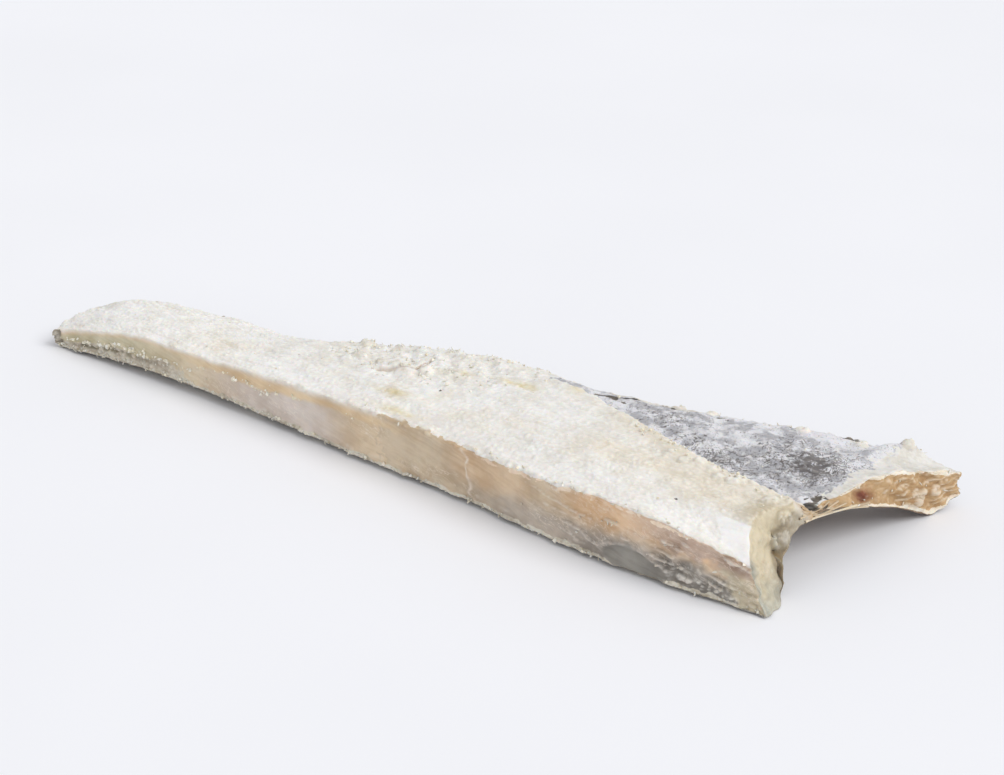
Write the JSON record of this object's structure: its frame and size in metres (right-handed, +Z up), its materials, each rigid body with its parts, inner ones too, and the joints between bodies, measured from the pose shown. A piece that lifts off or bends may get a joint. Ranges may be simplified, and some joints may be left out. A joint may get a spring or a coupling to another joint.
{
  "type": "salted cod side",
  "caption": "Lengthwise half of a split, boned and salted cod, flesh side up: a thick loin with a straight cut face, a tapering tail and a thin arched belly flap at the head end.",
  "frame": {"origin": "centre of the bounding box in plan, at the bottom, on the surface that the piece lies on", "axes": "+X along the fish towards the head end, +Y from the straight cut face of the loin towards the outer edge of the belly flap, +Z up from the skin to the flesh"},
  "size_m": [0.536, 0.17, 0.042],
  "materials": {
    "salted_flesh": "granular salted flesh, cream on top, ochre to grey on the cut face, dark grey lining on the flap",
    "salt_grains": "dull white salt crystals"
  },
  "bodies": {
    "root": {"salt_cod": "salted_flesh"}
  },
  "joints": []
}
